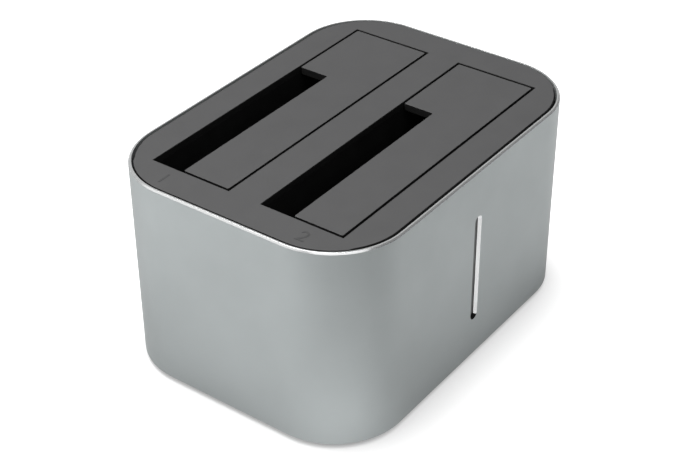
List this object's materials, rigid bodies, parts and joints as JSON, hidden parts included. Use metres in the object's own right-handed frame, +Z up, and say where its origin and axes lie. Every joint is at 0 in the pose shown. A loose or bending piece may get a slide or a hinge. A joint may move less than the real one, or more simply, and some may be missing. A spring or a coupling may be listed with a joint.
{
  "type": "drive duplicator",
  "caption": "Desktop station that holds two bare drives upright under sprung flaps and copies one to the other, in an aluminium sleeve with a light slot.",
  "frame": {"origin": "centre of the footprint, on the surface that the feet stand on", "axes": "+Z up, +X along the front face to the right as seen from the front, front face towards -Y"},
  "size_m": [0.1284, 0.094, 0.0705],
  "materials": {
    "anodised_aluminium": "bead blasted, anodised grey",
    "panel_plastic": "satin dark grey moulding",
    "flap_plastic": "satin dark grey moulding",
    "well_plastic": "black moulding",
    "base_plastic": "black, fine texture",
    "button_plastic": "black, satin",
    "foot_rubber": "matt black",
    "smoked_plastic": "smoked translucent",
    "pin_steel": "bright steel",
    "screw_steel": "black zinc plated",
    "spring_steel": "drawn spring wire",
    "board_green": "solder mask",
    "socket_plastic": "black moulding",
    "contact_gold": "gold plated",
    "connector_steel": "nickel plated",
    "chip_black": "epoxy moulding",
    "lead_tin": "tinned",
    "capacitor_can": "bright can",
    "ferrite": "ferrite",
    "ceramic": "ceramic",
    "led_white": "moulded"
  },
  "bodies": {
    "housing": {"base_plate": "base_plastic", "base_screws": "screw_steel", "board_screws": "screw_steel", "bridge_chip": "chip_black", "bridge_chip_leads": "lead_tin", "capacitors": "capacitor_can", "chip_passives": "ceramic", "clone_switch": "socket_plastic", "crystal": "connector_steel", "dc_jack": "socket_plastic", "dc_jack_pin": "connector_steel", "drive_well_1": "well_plastic", "drive_well_2": "well_plastic", "hinge_pin_1": "pin_steel", "hinge_pin_2": "pin_steel", "inductors": "ferrite", "led_board": "board_green", "led_header": "socket_plastic", "leds": "led_white", "light_bar": "smoked_plastic", "main_board": "board_green", "outer_shell": "anodised_aluminium", "power_switch": "socket_plastic", "rear_panel": "base_plastic", "rubber_feet": "foot_rubber", "sata_contacts_1": "contact_gold", "sata_contacts_2": "contact_gold", "sata_socket_1": "socket_plastic", "sata_socket_2": "socket_plastic", "top_panel": "panel_plastic", "usb_c_shell": "connector_steel", "usb_c_tongue": "socket_plastic", "well_screws": "screw_steel"},
    "bay_flap_1": {"flap_1": "flap_plastic", "flap_spring_1": "spring_steel"},
    "bay_flap_2": {"flap_2": "flap_plastic", "flap_spring_2": "spring_steel"},
    "power_key": {"power_button": "button_plastic"},
    "clone_key": {"clone_button": "button_plastic"}
  },
  "joints": [
    {"name": "flap_1_hinge", "type": "hinge", "parent": "housing", "child": "bay_flap_1", "pos_m": [0, 0.00385, 0.06645], "axis": [-1, 0, 0], "range_deg": [0, 88], "stiffness_Nm_per_rad": 0.004, "springref_deg": -57.3},
    {"name": "flap_2_hinge", "type": "hinge", "parent": "housing", "child": "bay_flap_2", "pos_m": [0, -0.03685, 0.06645], "axis": [-1, 0, 0], "range_deg": [0, 88], "stiffness_Nm_per_rad": 0.004, "springref_deg": -57.3},
    {"name": "power_button_push", "type": "slide", "parent": "housing", "child": "power_key", "axis": [0, -1, 0], "range_m": [0, 0.002], "stiffness_N_per_m": 400, "springref_m": -0.002},
    {"name": "clone_button_push", "type": "slide", "parent": "housing", "child": "clone_key", "axis": [0, -1, 0], "range_m": [0, 0.0009], "stiffness_N_per_m": 900, "springref_m": -0.001}
  ]
}
